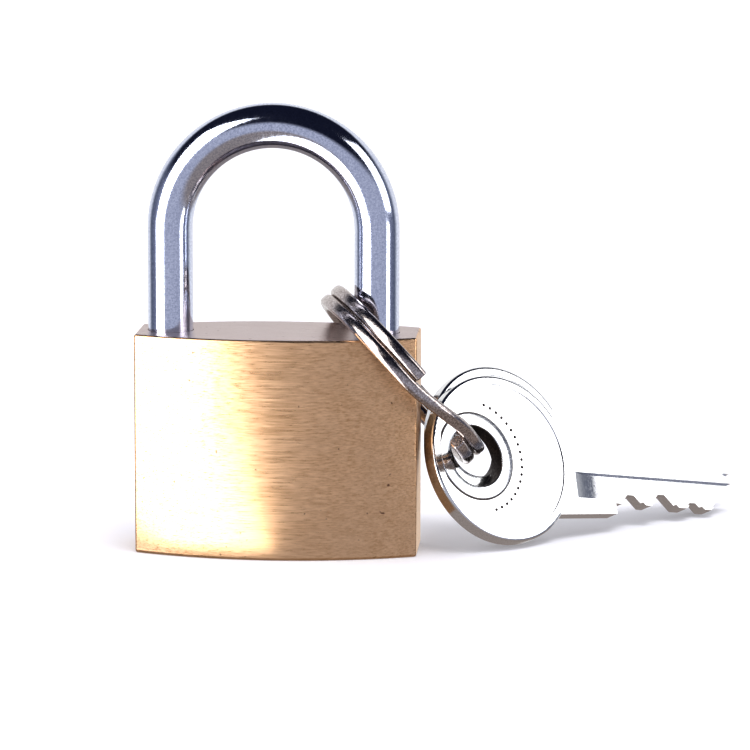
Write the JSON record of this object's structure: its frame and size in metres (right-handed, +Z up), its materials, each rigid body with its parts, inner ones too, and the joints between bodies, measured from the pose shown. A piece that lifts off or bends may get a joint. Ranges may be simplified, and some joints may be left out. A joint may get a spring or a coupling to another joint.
{
  "type": "padlock",
  "caption": "Small brass padlock with a bowed body, a polished steel shackle, a pin tumbler plug, and keys hanging on a split ring from the shackle.",
  "frame": {"origin": "centre of the keyway at the body's base, on the plug's axis", "axes": "+Z up towards the shackle's crown, +X across the body towards the toe leg and the keys, +Y towards the back"},
  "size_m": [0.0637, 0.0375, 0.0478],
  "materials": {
    "brass_body": "brushed satin, a fine grain along its width",
    "brass_parts": "turned brass",
    "chrome": "polished chrome plate",
    "nickel_ring": "bright nickel plate",
    "nickel_key": "bright nickel plate, softly worn",
    "spring_steel": "bare spring steel",
    "steel_pin": "ground steel pin"
  },
  "bodies": {
    "lock_body": {"body": "brass_body", "chamber_plugs": "brass_body", "latch_hole_plug": "brass_body", "heel_retaining_pin": "steel_pin", "plug_retaining_pin": "steel_pin", "latch_spring": "spring_steel", "shackle_spring": "spring_steel", "pin_spring_1": "spring_steel", "pin_spring_2": "spring_steel", "pin_spring_3": "spring_steel"},
    "plug": {"plug": "brass_parts"},
    "latch": {"latch": "brass_parts"},
    "shackle": {"shackle": "chrome"},
    "split_ring": {"split_ring": "nickel_ring"},
    "key_1": {"key_1": "nickel_key"},
    "key_2": {"key_2": "nickel_key"},
    "key_pin_1": {"key_pin_1": "brass_parts"},
    "driver_pin_1": {"driver_pin_1": "brass_parts"},
    "key_pin_2": {"key_pin_2": "brass_parts"},
    "driver_pin_2": {"driver_pin_2": "brass_parts"},
    "key_pin_3": {"key_pin_3": "brass_parts"},
    "driver_pin_3": {"driver_pin_3": "brass_parts"}
  },
  "joints": [
    {"name": "plug_turn", "type": "hinge", "parent": "lock_body", "child": "plug", "pos_m": [0, 0, 0], "axis": [0, 0, 1], "range_deg": [0, 90]},
    {"name": "latch_draw", "type": "slide", "parent": "lock_body", "child": "latch", "axis": [-1, 0, 0], "range_m": [0, 0.00396], "deforming": ["latch_spring"]},
    {"name": "shackle_lift", "type": "slide", "parent": "lock_body", "child": "shackle", "axis": [0, 0, 1], "range_m": [0, 0.0093], "deforming": ["shackle_spring"]},
    {"name": "ring_swing", "type": "hinge", "parent": "lock_body", "child": "split_ring", "pos_m": [0.00572, 0.00203, 0.02695], "axis": [0, -1, 0], "range_deg": [0, 50]},
    {"name": "key_1_swing", "type": "hinge", "parent": "split_ring", "child": "key_1", "pos_m": [0.02051, 0.00264, 0.00955], "axis": [0.6176, -0.6693, 0.4131], "range_deg": [0, 20]},
    {"name": "key_2_swing", "type": "hinge", "parent": "split_ring", "child": "key_2", "pos_m": [0.02031, 0.00573, 0.01003], "axis": [0.6176, -0.6693, 0.4131], "range_deg": [0, 14]},
    {"name": "key_pin_1_drop", "type": "slide", "parent": "plug", "child": "key_pin_1", "axis": [-1, 0, 0], "range_m": [0, 0.0006]},
    {"name": "driver_pin_1_rise", "type": "slide", "parent": "lock_body", "child": "driver_pin_1", "axis": [1, 0, 0], "range_m": [0, 0.0012], "stiffness_N_per_m": 40, "springref_m": -0.002, "deforming": ["pin_spring_1"]},
    {"name": "key_pin_2_drop", "type": "slide", "parent": "plug", "child": "key_pin_2", "axis": [-1, 0, 0], "range_m": [0, 0.0006]},
    {"name": "driver_pin_2_rise", "type": "slide", "parent": "lock_body", "child": "driver_pin_2", "axis": [1, 0, 0], "range_m": [0, 0.0012], "stiffness_N_per_m": 40, "springref_m": -0.002, "deforming": ["pin_spring_2"]},
    {"name": "key_pin_3_drop", "type": "slide", "parent": "plug", "child": "key_pin_3", "axis": [-1, 0, 0], "range_m": [0, 0.0006]},
    {"name": "driver_pin_3_rise", "type": "slide", "parent": "lock_body", "child": "driver_pin_3", "axis": [1, 0, 0], "range_m": [0, 0.0012], "stiffness_N_per_m": 40, "springref_m": -0.002, "deforming": ["pin_spring_3"]}
  ],
  "couplings": [
    {"joint": "plug_turn", "follows": "shackle_lift", "rad_per_m": 168.9},
    {"joint": "latch_draw", "follows": "shackle_lift", "ratio": 0.42473}
  ]
}
